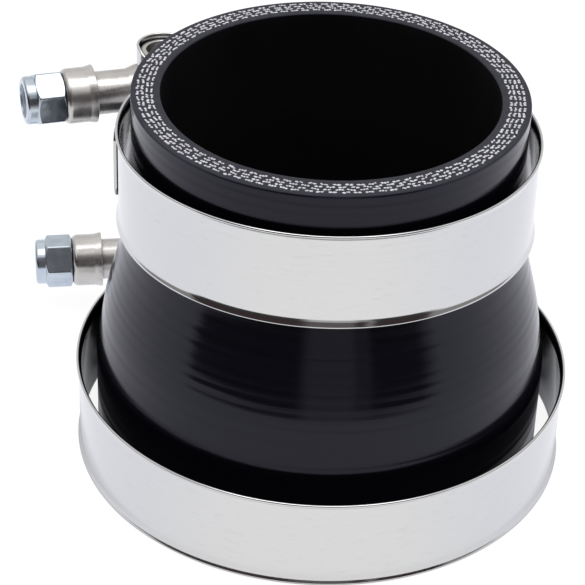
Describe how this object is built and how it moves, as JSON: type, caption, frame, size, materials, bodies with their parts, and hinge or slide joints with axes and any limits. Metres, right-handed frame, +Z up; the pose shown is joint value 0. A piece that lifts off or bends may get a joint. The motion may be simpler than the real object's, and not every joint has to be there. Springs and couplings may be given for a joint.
{
  "type": "reducer hose coupling",
  "caption": "Straight silicone reducer hose with a plain bore at each end and a loose T-bolt band clamp round each cuff, standing on its large end.",
  "frame": {"origin": "centre of the hose's large end face", "axes": "+Z runs up the hose axis from the large end to the small end; the clamp gaps face +Y and the lock nuts point towards -X"},
  "size_m": [0.1119, 0.109, 0.0762],
  "materials": {
    "liner": "smooth matt silicone",
    "ply": "woven polyester bonded in black silicone",
    "cover": "satin gloss, tape-wrapped",
    "band": "mirror-polished stainless strip",
    "hardware": "satin drawn stainless steel",
    "zinc": "bright zinc plate with a blue passivate",
    "nylon": "translucent white nylon"
  },
  "bodies": {
    "hose": {"hose_liner": "liner", "fabric_ply_1": "ply", "fabric_ply_2": "ply", "fabric_ply_3": "ply", "fabric_ply_4": "ply", "hose_cover": "cover"},
    "upper_clamp": {"upper_band": "band", "upper_bridge": "band"},
    "upper_trunnion": {"upper_trunnion": "hardware"},
    "upper_bolt": {"upper_t_bolt": "hardware"},
    "upper_cap": {"upper_end_cap": "hardware"},
    "upper_nut": {"upper_lock_nut": "zinc", "upper_nut_insert": "nylon"},
    "lower_clamp": {"lower_band": "band", "lower_bridge": "band"},
    "lower_trunnion": {"lower_trunnion": "hardware"},
    "lower_bolt": {"lower_t_bolt": "hardware"},
    "lower_cap": {"lower_end_cap": "hardware"},
    "lower_nut": {"lower_lock_nut": "zinc", "lower_nut_insert": "nylon"}
  },
  "joints": [
    {"name": "upper_clamp_lift", "type": "slide", "parent": "hose", "child": "upper_clamp", "axis": [0, 0, 1], "range_m": [0, 0.035]},
    {"name": "upper_trunnion_swivel", "type": "hinge", "parent": "upper_clamp", "child": "upper_trunnion", "pos_m": [-0.03356, 0.03492, 0.05685], "axis": [0, 0.0366, 0.9993], "range_deg": [-1.2, 1.2]},
    {"name": "upper_bolt_float", "type": "slide", "parent": "upper_trunnion", "child": "upper_bolt", "axis": [-0.9511, -0.3088, 0.0113], "range_m": [0, 0.0012]},
    {"name": "upper_nut_travel", "type": "slide", "parent": "upper_bolt", "child": "upper_cap", "axis": [-0.9511, -0.3088, 0.0113], "range_m": [0, 0.005]},
    {"name": "upper_nut_spin", "type": "hinge", "parent": "upper_cap", "child": "upper_nut", "pos_m": [-0.05373, 0.02838, 0.05709], "axis": [-0.9511, -0.3088, 0.0113], "range_deg": [0, 1800]},
    {"name": "lower_clamp_lift", "type": "slide", "parent": "hose", "child": "lower_clamp", "axis": [0, 0, 1], "range_m": [0, 0.02]},
    {"name": "lower_trunnion_swivel", "type": "hinge", "parent": "lower_clamp", "child": "lower_trunnion", "pos_m": [-0.03335, 0.04389, 0.00954], "axis": [0, 0, 1], "range_deg": [-0.9, 0.9]},
    {"name": "lower_bolt_float", "type": "slide", "parent": "lower_trunnion", "child": "lower_bolt", "axis": [-0.9888, -0.1495, 0], "range_m": [0, 0.0012]},
    {"name": "lower_nut_travel", "type": "slide", "parent": "lower_bolt", "child": "lower_cap", "axis": [-0.9888, -0.1495, 0], "range_m": [0, 0.005]},
    {"name": "lower_nut_spin", "type": "hinge", "parent": "lower_cap", "child": "lower_nut", "pos_m": [-0.05431, 0.04072, 0.00954], "axis": [-0.9888, -0.1495, 0], "range_deg": [0, 1800]}
  ],
  "couplings": [
    {"joint": "upper_nut_spin", "follows": "upper_nut_travel", "rad_per_m": 6283.2},
    {"joint": "lower_nut_spin", "follows": "lower_nut_travel", "rad_per_m": 6283.2}
  ]
}
